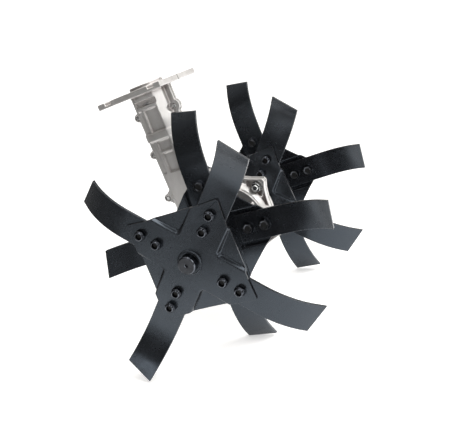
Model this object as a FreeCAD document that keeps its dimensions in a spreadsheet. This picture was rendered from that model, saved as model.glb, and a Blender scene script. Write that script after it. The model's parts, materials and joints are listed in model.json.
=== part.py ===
import FreeCAD
import Part
import Sketcher
import math
import os
import re

# Powered rotary hoe head: a two-part worm gearbox whose column carries the engine flange, and a cross
# axle with one rotor of eight bent blades on each side.  Row frame: +Z up, the axle along Y, the tines
# standing on Z = 0.  Two working frames are used.  The axle frame sits at the middle of the axle.  The
# column frame is the same frame leaned about Y, so that its Z runs along the worm shaft.

Vector = FreeCAD.Vector
Rotation = FreeCAD.Rotation
X_AXIS = Vector(1, 0, 0)
Y_AXIS = Vector(0, 1, 0)
Z_AXIS = Vector(0, 0, 1)

doc = FreeCAD.newDocument("RotaryHoeHead")

# Driving dimensions in millimetres and degrees.
SIZES = {
    # stance
    "axle_east": 2.0,
    "axle_height": 167.28,
    "column_lean": 18.2,
    # worm drive
    "centre_distance": 55.0,
    "gear_module": 3.0,
    "wheel_teeth": 28,
    "wheel_face": 22.0,
    "wheel_hub_length": 34.0,
    "worm_pitch_radius": 13.0,
    "worm_length": 48.0,
    "tooth_play": 1.0,
    "shaft_journal_radius": 8.5,
    "shaft_waist_radius": 8.0,
    "shaft_end_radius": 6.0,
    "shaft_top": 222.0,
    "shaft_foot": -40.0,
    "shaft_step": 206.0,
    "shaft_bearing_radius": 20.0,
    "axle_bearing_radius": 23.5,
    "bearing_width": 12.0,
    "race_thickness": 3.0,
    "ball_gap": 0.15,
    "lower_bearing": -40.5,
    "middle_bearing": 28.5,
    "upper_bearing": 178.0,
    # gearbox castings
    "gasket_thickness": 0.6,
    "rim_depth": 5.0,
    "wall_height": 4.0,
    "column_left": 25.2,
    "column_right": 27.5,
    "column_face_half": 16.0,
    "column_depth": 24.0,
    "column_shoulder": 13.0,
    "column_foot": -52.0,
    "band_height": 1.8,
    "collar_radius": 26.5,
    "collar_height": 9.0,
    "rim_left": 29.5,
    "rim_right": 36.0,
    "flange_bottom": 213.5,
    "flange_thickness": 8.0,
    "flange_half_width": 52.5,
    "flange_half_depth": 60.0,
    "flange_bolt_offset": 46.0,
    "flange_hole_radius": 3.3,
    "pilot_radius": 25.0,
    "pilot_height": 4.5,
    "pilot_bore_radius": 20.0,
    "case_radius": 52.0,
    "case_depth": 26.0,
    "case_skirt_radius": 58.0,
    "chamber_radius": 47.5,
    "chamber_half_depth": 19.5,
    "shaft_bore_radius": 17.5,
    "boss_radius": 29.0,
    "boss_depth": 45.0,
    "seal_width": 6.0,
    "ear_radius": 6.2,
    "wide_ear_radius": 9.5,
    "ear_spot_radius": 6.4,
    "ear_recess_radius": 4.2,
    "ear_recess": 1.2,
    "pad_spot_radius": 9.0,
    "rib_half_thickness": 2.5,
    "snap_ring_place": 198.0,
    "snap_ring_thickness": 1.5,
    "column_bolt_radius": 3.0,
    "column_bolt_flats": 10.0,
    "column_head_height": 4.0,
    "column_washer_thickness": 1.2,
    "case_bolt_radius": 4.0,
    "case_bolt_flats": 13.0,
    "case_head_height": 5.3,
    "case_nut_height": 6.5,
    "lock_nut_hexagon": 5.5,
    "lock_nut_height": 8.0,
    "lock_nut_collar": 5.9,
    "case_washer_thickness": 1.6,
    "bolt_spare": 2.6,
    "dowel_half_length": 6.2,
    "dowel_radius": 2.0,
    "plug_radius": 4.0,
    # axle and hubs
    "axle_core_radius": 14.0,
    "axle_journal_radius": 12.5,
    "axle_radius": 12.0,
    "axle_end": 185.6,
    "tube_radius": 14.5,
    "tube_play": 0.05,
    "tube_start": 47.0,
    "tube_end": 175.0,
    "key_width": 8.0,
    "key_height": 7.0,
    "key_length": 26.0,
    "hub_pin_offset": 55.0,
    "hub_pin_radius": 4.0,
    "hub_clip_radius": 1.0,
    "hub_clip_bend": 3.0,
    # rotors
    "outer_blade_plane": 168.7,
    "inner_blade_plane": 74.3,
    "outer_phase": -27.3,
    "inner_phase": 15.7,
    "far_rotor_turn": 3.2,
    "plate_reach": 97.0,
    "plate_edge_sag": 2.5,
    "plate_thickness": 2.5,
    "press_depth": 5.5,
    "press_lean": 20.0,
    "channel_half_width": 26.5,
    "blade_width": 40.0,
    "blade_thickness": 4.0,
    "blade_root": 32.0,
    "blade_length": 178.0,
    "blade_bend_start": 97.6,
    "blade_bend_radius": 108.0,
    "blade_bend_angle": 37.0,
    "blade_bend_skew": 5.5,
    "blade_tip_cut": 13.0,
    "inner_bolt_radius": 48.5,
    "outer_bolt_radius": 72.5,
    "blade_bolt_radius": 4.0,
    "blade_bolt_recess": 3.0,
    "blade_washer_radius": 8.5,
}

sheet = doc.addObject("Spreadsheet::Sheet", "Sizes")
for row, (alias, number) in enumerate(SIZES.items(), start=1):
    sheet.set(f"A{row}", alias)
    sheet.set(f"B{row}", str(number))
    sheet.setAlias(f"B{row}", alias)
doc.recompute()


def size(alias):
    """The number that a cell holds."""
    return float(getattr(sheet, alias))


WORD = re.compile("[a-z_]+")


def cells(text):
    """An expression in which each alias points at its cell."""
    def cell(match):
        word = match.group(0)
        return "Sizes." + word if word in SIZES else word
    return WORD.sub(cell, str(text))


def bind(feature, **expressions):
    """Drive properties of a feature from the sheet; a double underscore stands for a dot."""
    for path, text in expressions.items():
        feature.setExpression(path.replace("__", "."), cells(text))
    return feature


# ---------------------------------------------------------------- primitives

ROD_TURNS = {"x": Rotation(Y_AXIS, 90), "y": Rotation(X_AXIS, -90), "z": Rotation()}


def locate(feature, axis, low, at):
    """Put a round primitive on a line along the axis, starting at low."""
    feature.Placement = FreeCAD.Placement(Vector(), ROD_TURNS[axis])
    places = dict(zip([other for other in "xyz" if other != axis], at))
    places[axis] = low
    for letter, text in places.items():
        bind(feature, **{f"Placement__Base__{letter}": text})
    return feature


def rod(name, axis, radius, low, high, at=("0", "0")):
    """A cylinder along a local axis from low to high."""
    feature = doc.addObject("Part::Cylinder", name)
    bind(feature, Radius=radius, Height=f"({high}) - ({low})")
    return locate(feature, axis, low, at)


def taper(name, axis, low_radius, high_radius, low, high, at=("0", "0")):
    """A cone frustum along a local axis from low to high."""
    feature = doc.addObject("Part::Cone", name)
    bind(feature, Radius1=low_radius, Radius2=high_radius, Height=f"({high}) - ({low})")
    return locate(feature, axis, low, at)


def block(name, x_span, y_span, z_span):
    """A box between pairs of coordinates."""
    feature = doc.addObject("Part::Box", name)
    spans = (("x", "Length", x_span), ("y", "Width", y_span), ("z", "Height", z_span))
    for letter, side, (low, high) in spans:
        bind(feature, **{side: f"({high}) - ({low})", f"Placement__Base__{letter}": low})
    return feature


def draw(sketch, points):
    """A closed outline in a sketch, with every corner held by two dimensions."""
    count = len(points)
    start = [Vector(20 * math.cos(math.tau * i / count), 20 * math.sin(math.tau * i / count), 0)
             for i in range(count)]
    for index in range(count):
        sketch.addGeometry(Part.LineSegment(start[index], start[(index + 1) % count]), False)
    for index in range(count):
        sketch.addConstraint(Sketcher.Constraint("Coincident", index, 2, (index + 1) % count, 1))
    for index, corner in enumerate(points):
        for kind, text in zip(("DistanceX", "DistanceY"), corner):
            number = sketch.addConstraint(Sketcher.Constraint(kind, -1, 1, index, 1, 1.0))
            sketch.renameConstraint(number, f"{kind}{index}")
            sketch.setExpression(f"Constraints.{kind}{index}", cells(text))


def prism(name, points, axis, low, high):
    """An outline pushed along Y (points in x and z) or along Z (points in x and y)."""
    sketch = doc.addObject("Sketcher::SketchObject", name + "Outline")
    sketch.Placement.Rotation = Rotation(X_AXIS, 90) if axis == "y" else Rotation()
    draw(sketch, points)
    bind(sketch, **{f"Placement__Base__{axis}": low})
    feature = doc.addObject("Part::Extrusion", name)
    feature.Base = sketch
    feature.DirMode = "Custom"
    feature.Dir = Y_AXIS if axis == "y" else Z_AXIS
    feature.Solid = True
    bind(feature, LengthFwd=f"({high}) - ({low})")
    return feature


def turned(name, points, axis="y"):
    """A body turned about the local Y or Z axis; points are (radius, place along the axis)."""
    body = doc.addObject("PartDesign::Body", name)
    role = {"y": "XY_Plane", "z": "XZ_Plane"}[axis]
    plane = next(item for item in body.Origin.OriginFeatures if item.Role == role)
    sketch = body.newObject("Sketcher::SketchObject", name + "Section")
    sketch.AttachmentSupport = (plane, [""])
    sketch.MapMode = "FlatFace"
    draw(sketch, points)
    turn = body.newObject("PartDesign::Revolution", name + "Turn")
    turn.Profile = sketch
    turn.ReferenceAxis = (sketch, ["V_Axis"])
    turn.Angle = 360
    body.Tip = turn
    return body


def ring(name, inner, outer, low, high, axis="y"):
    """A plain turned ring."""
    return turned(name, [(inner, low), (outer, low), (outer, high), (inner, high)], axis)


def join(name, pieces):
    """One solid from several."""
    feature = doc.addObject("Part::MultiFuse", name)
    feature.Shapes = pieces
    feature.Refine = False
    return feature


def cut(name, base, tools):
    """A piece less its tools."""
    feature = doc.addObject("Part::Cut", name)
    feature.Base = base
    feature.Tool = tools[0] if len(tools) == 1 else join(name + "Tools", tools)
    feature.Refine = False
    return feature


def mirrored(name, source):
    """The same piece on the other side of the gearbox's middle plane."""
    feature = doc.addObject("Part::Mirroring", name)
    feature.Source = source
    feature.Normal = Y_AXIS
    return feature


def together(name, pieces):
    """Separate solids in one sub-part."""
    feature = doc.addObject("Part::Compound", name)
    feature.Links = pieces
    return feature


def both_sides(name, source):
    """A piece and its mirror image, as two solids."""
    return together(name, [source, mirrored(name + "Far", source)])


# ---------------------------------------------------------------- frames and sub-parts

SUBPARTS = []


def subpart(label, feature, frame):
    """Name a finished sub-part and stand it in its frame."""
    feature.Label = label
    lean = "0"
    x_text = "axle_east"
    z_text = "axle_height"
    if frame in ("column", "shaft"):
        lean = "-column_lean"
    if frame == "shaft":
        x_text += " - centre_distance * cos(column_lean * 1 deg)"
        z_text += " - centre_distance * sin(column_lean * 1 deg)"
    feature.Placement.Rotation = Rotation(Y_AXIS, -1)
    bind(feature, Placement__Rotation__Angle=lean, Placement__Base__x=x_text, Placement__Base__z=z_text)
    SUBPARTS.append(feature)
    return feature


def stored(name, shape):
    """A feature that keeps a shape made with Part's own functions."""
    feature = doc.addObject("Part::Feature", name)
    feature.Shape = shape
    return feature


def value(text):
    """The number that an expression gives now."""
    return float(sheet.evalExpression(cells(text)))


def hexagon(across_flats, low, high):
    """A hexagonal prism along local Z with the corners of both faces eased."""
    corner = across_flats / math.sqrt(3)
    points = [Vector(corner * math.cos(math.radians(60 * i)), corner * math.sin(math.radians(60 * i)), low)
              for i in range(6)]
    height = high - low
    small = corner - 0.055 * across_flats
    large = small + height
    base = Vector(0, 0, low)
    prism_shape = Part.Face(Part.makePolygon(points + points[:1])).extrude(Z_AXIS * height)
    eased_top = prism_shape.common(Part.makeCone(large, small, height, base, Z_AXIS))
    return eased_top.common(Part.makeCone(small, large, height, base, Z_AXIS))


def bolt_shape(radius, tip, seat, across_flats, head_height):
    """A hexagon bolt along local Z: its head stands on the level seat and its blunted tip is lower."""
    bevel = 0.2 * radius
    end = Part.makeCone(radius - bevel, radius, bevel, Vector(0, 0, tip), Z_AXIS)
    shank = Part.makeCylinder(radius, seat - tip - bevel, Vector(0, 0, tip + bevel), Z_AXIS)
    return end.fuse([shank, hexagon(across_flats, seat, seat + head_height)])


def nut_shape(radius, across_flats, low, high):
    """A hexagon nut along local Z."""
    return hexagon(across_flats, low, high).cut(Part.makeCylinder(radius, high - low, Vector(0, 0, low)))


def lock_nut_shape(radius, across_flats, low, high):
    """A hexagon nut along local Z whose lower end is a round collar."""
    base = Vector(0, 0, low)
    collar = Part.makeCylinder(size("lock_nut_collar"), high - low, base)
    bevel = Part.makeCone(size("lock_nut_collar") - 0.8, size("lock_nut_collar") + high - low - 0.8,
                          high - low, base)
    solid = hexagon(across_flats, high - size("lock_nut_hexagon"), high).fuse(collar.common(bevel))
    return solid.cut(Part.makeCylinder(radius, high - low, base))


def washer_shape(inner, outer, low, high):
    """A flat washer along local Z."""
    base = Vector(0, 0, low)
    return Part.makeCylinder(outer, high - low, base).cut(Part.makeCylinder(inner, high - low, base))


def lay(shape, point, direction, spin=0.0):
    """A copy of a shape with its local Z turned to a direction and its origin at a point."""
    copy = shape.copy()
    copy.Placement = FreeCAD.Placement(point, Rotation(Z_AXIS, direction).multiply(Rotation(Z_AXIS, spin)))
    return copy


# ---------------------------------------------------------------- gearbox castings

COLUMN_BOLTS = [("-centre_distance - 31", "183"), ("-centre_distance - 31", "124.5"),
                ("-centre_distance - 37", "56.5"), ("-centre_distance + 31", "181.5"),
                ("-centre_distance + 31", "124.5"), ("-centre_distance - 32", "-34")]
CASE_BOLTS = [("51", "34"), ("51", "-34"), ("2", "-63"), ("-3", "64")]
DOWELS = [("-centre_distance - 22.5", "152"), ("-centre_distance + 22.5", "96")]
MIDDLE = "-centre_distance"

# Half outline of each outer corner, from the column's side round to the middle of the wheel case.
CORNER = [("8", "71"), ("34", "52.5"), ("45", "48"), ("56", "44.5"), ("63", "42.7"), ("65", "38.5"),
          ("61.5", "28"), ("59.4", "14"), ("59.3", "2")]
# Recesses in the column's face, and their depths: left, right, low, high, depth.
PANELS = [("-17", "17", "196.5", "204.5", "3.5"), ("-17", "-11", "157", "191", "1.4"),
          ("-7.5", "14", "157", "191", "2.8"), ("-17", "-11", "95", "144", "1.4"),
          ("-7", "14", "128", "143", "2.4"), ("-5.5", "12", "95", "124.5", "2.4")]


def column_block(name, grow, low, high):
    """A length of the eight-sided column; grow moves every side outwards."""
    return prism(name, [
        (f"{MIDDLE} - column_left - {grow}", "0"), (f"{MIDDLE} - column_left - {grow}", "-column_shoulder"),
        (f"{MIDDLE} - column_face_half", f"-column_depth - {grow}"),
        (f"{MIDDLE} + column_face_half", f"-column_depth - {grow}"),
        (f"{MIDDLE} + column_right + {grow}", "-column_shoulder"), (f"{MIDDLE} + column_right + {grow}", "0"),
    ], "z", low, high)


def below(points):
    """The same points on the other side of the axle's level."""
    return [(x_text, f"-{z_text}") for x_text, z_text in points]


def casting_body(half, near):
    """The solid part of a casting before its hollows, as a list of overlapping solids."""
    face = "-gasket_thickness / 2"
    rim = prism(half + "Rim", [
        (f"{MIDDLE} - rim_left", "flange_bottom"), (f"{MIDDLE} - rim_left", "column_foot + 6"),
        (f"{MIDDLE} - rim_left + 8", "column_foot - 4"), ("-22", "-61"),
    ] + below(CORNER) + CORNER[::-1] + [
        (f"{MIDDLE} + rim_right", "80"), (f"{MIDDLE} + rim_right", "flange_bottom"),
    ], "y", "-rim_depth", face)
    flange = block(half + "Flange", (f"{MIDDLE} - flange_half_width", f"{MIDDLE} + flange_half_width"),
                   ("-flange_half_depth", "0"), ("flange_bottom", "flange_bottom + flange_thickness"))
    solids = [
        rim,
        column_block(half + "Column", "0", "column_foot", "flange_bottom + 1"),
        column_block(half + "Band", "band_height", "145", "156"),
        rod(half + "Collar", "z", "collar_radius", "flange_bottom - collar_height", "flange_bottom + 1",
            (MIDDLE, "0")),
        flange,
        rod(half + "Pilot", "z", "pilot_radius", "flange_bottom",
            "flange_bottom + flange_thickness + pilot_height", (MIDDLE, "0")),
        rod(half + "Case", "y", "case_radius", "-case_depth", "0"),
        taper(half + "Skirt", "y", "case_radius - 1", "case_skirt_radius", "-case_depth + 3",
              "-rim_depth + 1"),
        rod(half + "Boss", "y", "boss_radius", "-boss_depth", "0"),
        taper(half + "BossFoot", "y", "boss_radius", "boss_radius + 7", "-case_depth - 8",
              "-case_depth + 0.5"),
    ]
    # Five ribs on the wheel case's face.
    for index, angle in enumerate((20, 75, 130, 250, 305)):
        rib = block(f"{half}Rib{index}", ("24", "case_radius - 4"), ("-case_depth - 9", "-case_depth + 1"),
                    ("-rib_half_thickness", "rib_half_thickness"))
        turn = doc.addObject("Part::Compound", f"{half}RibTurn{index}")
        turn.Links = [rib]
        turn.Placement.Rotation = Rotation(Y_AXIS, -angle)
        solids.append(turn)
    # Ears round the joint bolts, each on a web that widens towards the column.
    for index, (x_text, z_text) in enumerate(COLUMN_BOLTS):
        wide = index in (3, 4)
        reach = "wide_ear_radius" if wide else "ear_radius"
        solids.append(rod(f"{half}Ear{index}", "y", reach, "-rim_depth", "0", (x_text, z_text)))
        root = f"{MIDDLE} {'+' if wide else '-'} (rim_left - 2)"
        solids.append(prism(f"{half}EarWeb{index}", [
            (root, f"{z_text} - ear_radius - 7"), (x_text, f"{z_text} - ear_radius + 0.5"),
            (x_text, f"{z_text} + ear_radius - 0.5"), (root, f"{z_text} + ear_radius + 7"),
        ], "y", "-rim_depth", "0"))
    # A raised wall round each outer corner.
    if near:
        outline = CORNER[1:] + [("48", "2"), ("28", "42")]
        for index, points in enumerate((outline, below(outline))):
            solids.append(prism(f"{half}Wall{index}", points, "y", "-rim_depth - wall_height",
                                "-rim_depth + 1"))
    return solids


def casting_half(name, near):
    """A half of the gearbox at negative Y, in the column frame; the near one takes the bolts' threads."""
    half = name + "Half"
    body = join(half + "Solid", casting_body(half, near))
    hollows = [
        block(half + "Parting", ("-200", "200"), ("-gasket_thickness / 2", "80"), ("-100", "260")),
        rod(half + "Chamber", "y", "chamber_radius", "-chamber_half_depth", "1"),
        rod(half + "ShaftBore", "z", "shaft_bore_radius", "lower_bearing", "flange_bottom", (MIDDLE, "0")),
        rod(half + "PilotBore", "z", "pilot_bore_radius", "upper_bearing", "260", (MIDDLE, "0")),
        rod(half + "AxleSeat", "y", "axle_bearing_radius", "-case_depth - bearing_width", "0"),
        rod(half + "AxleBore", "y", "axle_bearing_radius - 3", "-boss_depth - 1", "0"),
        rod(half + "SealSeat", "y", "axle_bearing_radius - 0.5", "-boss_depth - 1",
            "-boss_depth + seal_width"),
    ]
    for index, place in enumerate(("lower_bearing", "middle_bearing")):
        hollows.append(rod(f"{half}Seat{index}", "z", "shaft_bearing_radius", place,
                           f"{place} + bearing_width", (MIDDLE, "0")))
    # Two pockets in each raised corner, panels in the column's face and grooves beside the flange's pads.
    nut_pocket = [("39", "47"), ("50", "43.5"), ("56", "41"), ("60", "37"), ("60.5", "31"), ("57", "25"),
                  ("50", "18.5"), ("45", "26"), ("38", "38")]
    side_pocket = [("59", "24"), ("58", "15"), ("57.6", "5"), ("55", "4.5"), ("52.5", "9"), ("53.5", "16.5")]
    for index, points in enumerate((nut_pocket, side_pocket, below(nut_pocket), below(side_pocket))):
        hollows.append(prism(f"{half}Pocket{index}", points, "y", "-rim_depth - wall_height - 1",
                             "-rim_depth"))
    for index, (left, right, low, high, depth) in enumerate(PANELS):
        hollows.append(block(f"{half}Panel{index}", (f"{MIDDLE} + {left}", f"{MIDDLE} + {right}"),
                             ("-column_depth - 1", f"-column_depth + {depth}"), (low, high)))
    top = "flange_bottom + flange_thickness"
    for index, (left, right) in enumerate((("-40", "-30"), ("32", "42"))):
        hollows.append(block(f"{half}Groove{index}", (f"{MIDDLE} + {left}", f"{MIDDLE} + {right}"),
                             ("-flange_half_depth - 1", "-30"), (f"{top} - 5", f"{top} + 1")))
    for index, side in enumerate(("-", "+")):
        hole = f"{MIDDLE} {side} flange_bolt_offset"
        hollows.append(rod(f"{half}FlangeHole{index}", "z", "flange_hole_radius", "flange_bottom - 30",
                           "230", (hole, "-flange_bolt_offset")))
    spare = "0" if near else "0.2"
    for index, place in enumerate(COLUMN_BOLTS):
        hollows.append(rod(f"{half}Hole{index}", "y", f"column_bolt_radius + {spare}", "-30", "1", place))
        hollows.append(rod(f"{half}Spot{index}", "y", "ear_spot_radius", "-30", "-rim_depth", place))
        if near:
            hollows.append(rod(f"{half}Recess{index}", "y", "ear_recess_radius", "-30",
                               "-rim_depth + ear_recess", place))
    for index, place in enumerate(CASE_BOLTS):
        hollows.append(rod(f"{half}PadHole{index}", "y", "case_bolt_radius + 0.2", "-30", "1", place))
        hollows.append(rod(f"{half}PadSpot{index}", "y", "pad_spot_radius", "-40", "-rim_depth", place))
    for index, place in enumerate(DOWELS):
        hollows.append(rod(f"{half}DowelHole{index}", "y", "dowel_radius", "-dowel_half_length - 0.3", "1",
                           place))
    hollows.append(rod(half + "SnapGroove", "z", "pilot_bore_radius + 1.2", "snap_ring_place",
                       "snap_ring_place + snap_ring_thickness", (MIDDLE, "0")))
    return cut(name, body, hollows)


def joint_fasteners(name, places, seat, nuts_wanted):
    """Bolts across the parting plane, with heads at positive Y and nuts or plain tips at negative Y."""
    radius = size(name + "_bolt_radius")
    flats = size(name + "_bolt_flats")
    washer = size(name + "_washer_thickness")
    grip = seat + washer
    if nuts_wanted:
        nut_end = grip + size(name + "_nut_height")
        nut = nut_shape(radius, flats, -nut_end, -grip)
        tip = -nut_end - size("bolt_spare")
    else:
        tip = -seat
    bolt = bolt_shape(radius, tip, grip, flats, size(name + "_head_height"))
    washer_radius = 0.62 * flats
    upper = washer_shape(radius, washer_radius, seat, grip)
    lower = washer_shape(radius, washer_radius, -grip, -seat)
    bolts = []
    nuts = []
    washers = []
    for index, (x_text, z_text) in enumerate(places):
        point = Vector(value(x_text), 0, value(z_text))
        bolts.append(lay(bolt, point, Y_AXIS, spin=17 * index))
        washers.append(lay(upper, point, Y_AXIS))
        if nuts_wanted:
            nuts.append(lay(nut, point, Y_AXIS, spin=10 * index))
            washers.append(lay(lower, point, Y_AXIS))
    kinds = [("bolts", bolts), ("washers", washers)] + ([("nuts", nuts)] if nuts_wanted else [])
    for kind, solids in kinds:
        subpart(f"{name}_{kind}", stored(f"{name}{kind}", Part.makeCompound(solids)), "column")


def gearbox():
    """The two castings, the gasket between them and their fasteners."""
    casting = casting_half("Casting", True)
    subpart("housing_half_near", together("HousingNear", [casting]), "column")
    plug_place = ("42", "-12")
    plug_hole = rod("PlugHole", "y", "plug_radius", "chamber_half_depth - 2", "case_depth + 5", plug_place)
    plain = casting_half("PlainCasting", False)
    far = cut("HousingFar", mirrored("PlainTurned", plain), [plug_hole])
    subpart("housing_half_far", far, "column")

    slab = block("GasketSlab", ("-150", "110"), ("-1.5 * gasket_thickness", "-gasket_thickness / 2"),
                 ("-90", "240"))
    gasket = doc.addObject("Part::Common", "GasketPrint")
    gasket.Base = casting
    gasket.Tool = slab
    subpart("housing_gasket", together("Gasket", [gasket]), "column")
    bind(SUBPARTS[-1], Placement__Base__y="gasket_thickness")

    pins = [rod(f"Dowel{index}", "y", "dowel_radius", "-dowel_half_length", "dowel_half_length", place)
            for index, place in enumerate(DOWELS)]
    subpart("housing_dowels", together("Dowels", pins), "column")

    joint_fasteners("column", COLUMN_BOLTS, size("rim_depth"), False)
    joint_fasteners("case", CASE_BOLTS, size("rim_depth"), True)

    stem = rod("PlugStem", "y", "plug_radius", "chamber_half_depth + 1", "case_depth", plug_place)
    head = hexagon(size("column_bolt_flats"), 0, size("case_head_height"))
    head_place = Vector(value(plug_place[0]), size("case_depth"), value(plug_place[1]))
    cap = stored("PlugHead", lay(head, head_place, Y_AXIS))
    subpart("grease_plug", join("GreasePlug", [stem, cap]), "column")


# ---------------------------------------------------------------- bearings and seals

def balls(name, frame, count, pitch_radius, radius, middles, along):
    """The balls of several bearings as separate solids."""
    solids = []
    for middle in middles:
        for index in range(count):
            angle = math.tau * index / count
            if along == "z":
                point = Vector(pitch_radius * math.cos(angle), pitch_radius * math.sin(angle), middle)
            else:
                point = Vector(pitch_radius * math.cos(angle), middle, pitch_radius * math.sin(angle))
            solids.append(Part.makeSphere(radius, point))
    subpart(name, stored(name.title().replace("_", ""), Part.makeCompound(solids)), frame)


def shaft_bearings():
    """Three ball bearings on the worm shaft, its oil seal and the snap ring over it."""
    outers = []
    inners = []
    middles = []
    for place in ("lower_bearing", "middle_bearing", "upper_bearing"):
        tag = place.split("_")[0].title()
        outers.append(ring(tag + "Outer", "shaft_bearing_radius - race_thickness", "shaft_bearing_radius",
                           place, f"{place} + bearing_width", "z"))
        inners.append(ring(tag + "Inner", "shaft_journal_radius", "shaft_journal_radius + race_thickness",
                           place, f"{place} + bearing_width", "z"))
        middles.append(value(f"{place} + bearing_width / 2"))
    subpart("shaft_bearing_outer_races", together("ShaftOuterRaces", outers), "shaft")
    subpart("shaft_bearing_inner_races", together("ShaftInnerRaces", inners), "shaft")
    low = size("shaft_journal_radius") + size("race_thickness")
    high = size("shaft_bearing_radius") - size("race_thickness")
    balls("shaft_bearing_balls", "shaft", 8, (low + high) / 2, (high - low) / 2 - size("ball_gap"),
          middles, "z")
    floor = "upper_bearing + bearing_width + 1"
    lip = "shaft_journal_radius + 0.1"
    seal = turned("InputSeal", [
        (lip, floor), ("pilot_bore_radius", floor), ("pilot_bore_radius", f"{floor} + seal_width"),
        ("pilot_bore_radius - 3", f"{floor} + seal_width"), ("pilot_bore_radius - 3", f"{floor} + 3"),
        ("shaft_journal_radius + 3", f"{floor} + 3"), ("shaft_journal_radius + 2", f"{floor} + seal_width"),
        (lip, f"{floor} + seal_width - 2"),
    ], "z")
    subpart("input_oil_seal", seal, "shaft")
    whole = ring("SnapRingWhole", "pilot_bore_radius - 2", "pilot_bore_radius + 1.2", "snap_ring_place",
                 "snap_ring_place + snap_ring_thickness", "z")
    gap = block("SnapRingGap", ("0", "30"), ("-5", "5"), ("190", "210"))
    subpart("input_snap_ring", cut("SnapRing", whole, [gap]), "shaft")


def axle_bearings():
    """A ball bearing and an oil seal in each axle boss."""
    low = "-case_depth - bearing_width"
    outer = ring("AxleOuterRace", "axle_bearing_radius - race_thickness", "axle_bearing_radius",
                 low, "-case_depth")
    inner = ring("AxleInnerRace", "axle_journal_radius", "axle_journal_radius + race_thickness",
                 low, "-case_depth")
    subpart("axle_bearing_outer_races", both_sides("AxleOuterRaces", outer), "axle")
    subpart("axle_bearing_inner_races", both_sides("AxleInnerRaces", inner), "axle")
    inside = size("axle_journal_radius") + size("race_thickness")
    outside = size("axle_bearing_radius") - size("race_thickness")
    middle = size("case_depth") + size("bearing_width") / 2
    balls("axle_bearing_balls", "axle", 12, (inside + outside) / 2,
          (outside - inside) / 2 - size("ball_gap"), (-middle, middle), "y")
    seal = turned("AxleSeal", [
        ("axle_journal_radius + 0.15", "-boss_depth + seal_width"),
        ("axle_bearing_radius - 0.5", "-boss_depth + seal_width"),
        ("axle_bearing_radius - 0.5", "-boss_depth"), ("axle_bearing_radius - 3", "-boss_depth"),
        ("axle_bearing_radius - 3.5", "-boss_depth + 1.5"), ("axle_journal_radius + 3", "-boss_depth + 1.5"),
        ("axle_journal_radius + 2", "-boss_depth + 0.5"), ("axle_journal_radius + 0.15", "-boss_depth + 1"),
    ])
    subpart("axle_oil_seals", both_sides("AxleSeals", seal), "axle")


# ---------------------------------------------------------------- worm drive

def worm():
    """The input shaft with a single-start right-hand thread, in the shaft frame."""
    lead = math.pi * size("gear_module")
    pitch_radius = size("worm_pitch_radius")
    root = pitch_radius - 1.25 * size("gear_module")
    tip = pitch_radius + size("gear_module")
    flank = math.tan(math.radians(20))
    half = lead / 4 - size("tooth_play") / 4
    shaft = turned("WormCore", [
        ("0", "shaft_foot"), ("shaft_journal_radius - 0.8", "shaft_foot"),
        ("shaft_journal_radius", "shaft_foot + 0.8"),
        ("shaft_journal_radius", "lower_bearing + bearing_width"),
        ("worm_pitch_radius - 1.25 * gear_module", "lower_bearing + bearing_width"),
        ("worm_pitch_radius - 1.25 * gear_module", "middle_bearing"),
        ("shaft_journal_radius", "middle_bearing"), ("shaft_journal_radius", "middle_bearing + 16"),
        ("shaft_waist_radius", "middle_bearing + 18"), ("shaft_waist_radius", "upper_bearing - 6"),
        ("shaft_journal_radius", "upper_bearing - 4"), ("shaft_journal_radius", "shaft_step"),
        ("shaft_end_radius", "shaft_step"), ("shaft_end_radius", "shaft_top - 1"),
        ("shaft_end_radius - 1", "shaft_top"), ("0", "shaft_top"),
    ], "z")
    doc.recompute()
    sunk = root - 0.6
    inner_half = half + (pitch_radius - sunk) * flank
    outer_half = half - (tip - pitch_radius) * flank
    low = -size("worm_length") / 2
    corners = [Vector(sunk, 0, low - inner_half), Vector(tip, 0, low - outer_half),
               Vector(tip, 0, low + outer_half), Vector(sunk, 0, low + inner_half)]
    section = Part.makePolygon(corners + corners[:1])
    helix = Part.makeHelix(lead, size("worm_length"), pitch_radius)
    helix.translate(Vector(0, 0, low))
    thread = Part.Wire(helix).makePipeShell([section], True, True)
    # The thread starts at the foot so that its crest faces the wheel at the shaft's middle.
    turns = size("worm_length") / 2 / lead
    thread.rotate(Vector(), Z_AXIS, -360 * turns)
    subpart("worm_shaft", stored("WormShaft", shaft.Shape.fuse(thread)), "shaft")


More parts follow.
